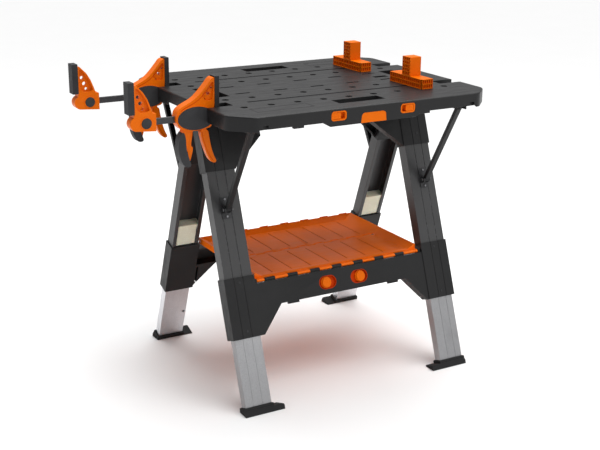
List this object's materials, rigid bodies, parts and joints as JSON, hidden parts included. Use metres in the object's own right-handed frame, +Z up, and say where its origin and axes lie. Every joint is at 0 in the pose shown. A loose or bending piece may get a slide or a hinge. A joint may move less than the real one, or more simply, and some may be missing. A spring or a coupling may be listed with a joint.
{
  "type": "folding sawhorse work table",
  "caption": "Folding sawhorse and work table with drop leaves, telescoping legs, folding tray, two bar clamps and two bench dogs.",
  "frame": {"origin": "on the floor, below the centre of the whole box, clamps included", "axes": "+X along the table away from the clamps, +Y towards the rear leaf, +Z up"},
  "size_m": [1.027, 0.666, 0.8841],
  "materials": {
    "table_top_plastic": "fine grained matt",
    "bright_steel": "zinc plated",
    "orange_trim": "semi gloss",
    "orange_tray": "satin",
    "orange_dog": "semi gloss",
    "black_painted_steel": "satin powder coat",
    "moulded_black": "matt",
    "strut_bracket_steel": "black zinc",
    "strut_steel": "satin powder coat",
    "lower_leg_aluminium": "satin anodised",
    "guide_nylon": "natural",
    "foot_rubber": "matt",
    "clamp_bar_steel": "phosphated",
    "pad_rubber": "matt",
    "clamp_soft_cover": "matt",
    "orange_clamp": "semi gloss"
  },
  "bodies": {
    "root": {"centre_beam": "table_top_plastic", "hinge_rods": "bright_steel"},
    "leaf_front": {"leaf_front": "table_top_plastic", "leaf_front_trim": "orange_trim"},
    "leaf_back": {"leaf_back": "table_top_plastic"},
    "latch_left": {"latch_left": "orange_trim"},
    "latch_right": {"latch_right": "orange_trim"},
    "front_leg": {"front_left_channel": "black_painted_steel", "front_right_channel": "black_painted_steel", "front_shrouds": "moulded_black", "front_panel": "moulded_black", "front_strut_brackets": "strut_bracket_steel"},
    "back_leg": {"back_left_channel": "black_painted_steel", "back_right_channel": "black_painted_steel", "back_shrouds": "moulded_black", "back_panel": "moulded_black", "back_strut_brackets": "strut_bracket_steel"},
    "tray_front": {"tray_front": "orange_tray", "tray_rods": "bright_steel"},
    "tray_back": {"tray_back": "orange_tray"},
    "dog_front": {"dog_front": "orange_dog"},
    "dog_back": {"dog_back": "orange_dog"},
    "front_left_strut": {"front_left_strut": "strut_steel"},
    "front_left_lower_leg": {"front_left_tube": "lower_leg_aluminium", "front_left_guide": "guide_nylon", "front_left_foot": "foot_rubber"},
    "front_slide_left": {"front_slide_left": "orange_trim"},
    "front_right_strut": {"front_right_strut": "strut_steel"},
    "front_right_lower_leg": {"front_right_tube": "lower_leg_aluminium", "front_right_guide": "guide_nylon", "front_right_foot": "foot_rubber"},
    "front_slide_right": {"front_slide_right": "orange_trim"},
    "front_clamp_bar": {"front_clamp_bar": "clamp_bar_steel", "front_clamp_jaw": "orange_clamp", "front_clamp_jaw_pad": "pad_rubber"},
    "front_clamp_button": {"front_clamp_button": "clamp_soft_cover"},
    "front_clamp_body": {"front_clamp_body": "orange_clamp", "front_clamp_covers": "clamp_soft_cover", "front_clamp_pad": "pad_rubber"},
    "front_clamp_lever": {"front_clamp_lever": "orange_clamp"},
    "front_clamp_trigger": {"front_clamp_trigger": "orange_clamp"},
    "back_left_strut": {"back_left_strut": "strut_steel"},
    "back_left_lower_leg": {"back_left_tube": "lower_leg_aluminium", "back_left_guide": "guide_nylon", "back_left_foot": "foot_rubber"},
    "back_slide_left": {"back_slide_left": "orange_trim"},
    "back_right_strut": {"back_right_strut": "strut_steel"},
    "back_right_lower_leg": {"back_right_tube": "lower_leg_aluminium", "back_right_guide": "guide_nylon", "back_right_foot": "foot_rubber"},
    "back_slide_right": {"back_slide_right": "orange_trim"},
    "back_clamp_bar": {"back_clamp_bar": "clamp_bar_steel", "back_clamp_jaw": "orange_clamp", "back_clamp_jaw_pad": "pad_rubber"},
    "back_clamp_button": {"back_clamp_button": "clamp_soft_cover"},
    "back_clamp_body": {"back_clamp_body": "orange_clamp", "back_clamp_covers": "clamp_soft_cover", "back_clamp_pad": "pad_rubber"},
    "back_clamp_lever": {"back_clamp_lever": "orange_clamp"},
    "back_clamp_trigger": {"back_clamp_trigger": "orange_clamp"}
  },
  "joints": [
    {"name": "front_leg_fold", "type": "hinge", "parent": "root", "child": "front_leg", "pos_m": [0.1185, -0.02199, 0.73884], "axis": [1, 0, 0], "range_deg": [0, 20.05]},
    {"name": "back_leg_fold", "type": "hinge", "parent": "root", "child": "back_leg", "pos_m": [0.1185, 0.02199, 0.73884], "axis": [1, 0, 0], "range_deg": [-20.05, 0]},
    {"name": "tray_front_fold", "type": "hinge", "parent": "front_leg", "child": "tray_front", "pos_m": [0.1185, -0.18318, 0.32417], "axis": [1, 0, 0], "range_deg": [0, 60.15]},
    {"name": "tray_back_fold", "type": "hinge", "parent": "tray_front", "child": "tray_back", "pos_m": [0.1185, 0, 0.32417], "axis": [1, 0, 0], "range_deg": [-160.38, 0]},
    {"name": "front_leaf_fold", "type": "hinge", "parent": "root", "child": "leaf_front", "pos_m": [0.1185, -0.0475, 0.768], "axis": [1, 0, 0], "range_deg": [0, 55]},
    {"name": "back_leaf_fold", "type": "hinge", "parent": "root", "child": "leaf_back", "pos_m": [0.1185, 0.0475, 0.768], "axis": [1, 0, 0], "range_deg": [-55, 0]},
    {"name": "front_left_strut_fold", "type": "hinge", "parent": "front_leg", "child": "front_left_strut", "pos_m": [-0.2015, -0.1334, 0.5189], "axis": [1, 0, 0], "range_deg": [0, 130.12]},
    {"name": "front_left_leg_height", "type": "slide", "parent": "front_leg", "child": "front_left_lower_leg", "axis": [0, 0.3428, 0.9394], "range_m": [0, 0.13]},
    {"name": "front_right_strut_fold", "type": "hinge", "parent": "front_leg", "child": "front_right_strut", "pos_m": [0.4385, -0.1334, 0.5189], "axis": [1, 0, 0], "range_deg": [0, 130.12]},
    {"name": "front_right_leg_height", "type": "slide", "parent": "front_leg", "child": "front_right_lower_leg", "axis": [0, 0.3428, 0.9394], "range_m": [0, 0.13]},
    {"name": "front_slide_left_press", "type": "slide", "parent": "front_leg", "child": "front_slide_left", "axis": [1, 0, 0], "range_m": [0, 0.012], "stiffness_N_per_m": 300},
    {"name": "front_slide_right_press", "type": "slide", "parent": "front_leg", "child": "front_slide_right", "axis": [1, 0, 0], "range_m": [-0.012, 0], "stiffness_N_per_m": 300},
    {"name": "front_clamp_insert", "type": "slide", "parent": "leaf_front", "child": "front_clamp_bar", "axis": [1, 0, 0], "range_m": [-0.03, 0]},
    {"name": "front_clamp_travel", "type": "slide", "parent": "front_clamp_bar", "child": "front_clamp_body", "axis": [-1, 0, 0], "range_m": [-0.028, 0.05]},
    {"name": "front_clamp_squeeze", "type": "hinge", "parent": "front_clamp_body", "child": "front_clamp_lever", "pos_m": [-0.2795, -0.155, 0.757], "axis": [0, 1, 0], "range_deg": [0, 10], "stiffness_Nm_per_rad": 0.8},
    {"name": "front_clamp_release", "type": "hinge", "parent": "front_clamp_body", "child": "front_clamp_trigger", "pos_m": [-0.3145, -0.155, 0.757], "axis": [0, 1, 0], "range_deg": [0, 5], "stiffness_Nm_per_rad": 0.4},
    {"name": "front_clamp_button_press", "type": "slide", "parent": "front_clamp_bar", "child": "front_clamp_button", "axis": [0, 1, 0], "range_m": [0, 0.003], "stiffness_N_per_m": 600},
    {"name": "back_left_strut_fold", "type": "hinge", "parent": "back_leg", "child": "back_left_strut", "pos_m": [-0.2015, 0.1334, 0.5189], "axis": [1, 0, 0], "range_deg": [-130.12, 0]},
    {"name": "back_left_leg_height", "type": "slide", "parent": "back_leg", "child": "back_left_lower_leg", "axis": [0, -0.3428, 0.9394], "range_m": [0, 0.13]},
    {"name": "back_right_strut_fold", "type": "hinge", "parent": "back_leg", "child": "back_right_strut", "pos_m": [0.4385, 0.1334, 0.5189], "axis": [1, 0, 0], "range_deg": [-130.12, 0]},
    {"name": "back_right_leg_height", "type": "slide", "parent": "back_leg", "child": "back_right_lower_leg", "axis": [0, -0.3428, 0.9394], "range_m": [0, 0.13]},
    {"name": "back_slide_left_press", "type": "slide", "parent": "back_leg", "child": "back_slide_left", "axis": [1, 0, 0], "range_m": [0, 0.012], "stiffness_N_per_m": 300},
    {"name": "back_slide_right_press", "type": "slide", "parent": "back_leg", "child": "back_slide_right", "axis": [1, 0, 0], "range_m": [-0.012, 0], "stiffness_N_per_m": 300},
    {"name": "back_clamp_insert", "type": "slide", "parent": "leaf_back", "child": "back_clamp_bar", "axis": [1, 0, 0], "range_m": [-0.03, 0]},
    {"name": "back_clamp_travel", "type": "slide", "parent": "back_clamp_bar", "child": "back_clamp_body", "axis": [1, 0, 0], "range_m": [-0.05, 0.028]},
    {"name": "back_clamp_squeeze", "type": "hinge", "parent": "back_clamp_body", "child": "back_clamp_lever", "pos_m": [-0.2795, 0.155, 0.757], "axis": [0, 1, 0], "range_deg": [0, 10], "stiffness_Nm_per_rad": 0.8},
    {"name": "back_clamp_release", "type": "hinge", "parent": "back_clamp_body", "child": "back_clamp_trigger", "pos_m": [-0.3145, 0.155, 0.757], "axis": [0, 1, 0], "range_deg": [0, 5], "stiffness_Nm_per_rad": 0.4},
    {"name": "back_clamp_button_press", "type": "slide", "parent": "back_clamp_bar", "child": "back_clamp_button", "axis": [0, 1, 0], "range_m": [0, 0.003], "stiffness_N_per_m": 600},
    {"name": "latch_left_press", "type": "slide", "parent": "leaf_front", "child": "latch_left", "axis": [1, 0, 0], "range_m": [0, 0.011], "stiffness_N_per_m": 300},
    {"name": "latch_right_press", "type": "slide", "parent": "leaf_front", "child": "latch_right", "axis": [1, 0, 0], "range_m": [-0.011, 0], "stiffness_N_per_m": 300},
    {"name": "dog_front_lift", "type": "slide", "parent": "leaf_front", "child": "dog_front", "axis": [0, 0, 1], "range_m": [0, 0.035]},
    {"name": "dog_back_lift", "type": "slide", "parent": "leaf_back", "child": "dog_back", "axis": [0, 0, 1], "range_m": [0, 0.035]}
  ],
  "couplings": [
    {"joint": "back_leg_fold", "follows": "front_leg_fold", "ratio": -1},
    {"joint": "tray_front_fold", "follows": "front_leg_fold", "ratio": 2.999},
    {"joint": "tray_back_fold", "follows": "front_leg_fold", "ratio": -7.998},
    {"joint": "front_left_strut_fold", "follows": "front_leaf_fold", "ratio": 2.3655},
    {"joint": "front_right_strut_fold", "follows": "front_leaf_fold", "ratio": 2.3655},
    {"joint": "front_slide_right_press", "follows": "front_slide_left_press", "ratio": -1},
    {"joint": "back_left_strut_fold", "follows": "back_leaf_fold", "ratio": 2.3655},
    {"joint": "back_right_strut_fold", "follows": "back_leaf_fold", "ratio": 2.3655},
    {"joint": "back_slide_right_press", "follows": "back_slide_left_press", "ratio": -1},
    {"joint": "latch_right_press", "follows": "latch_left_press", "ratio": -1}
  ]
}
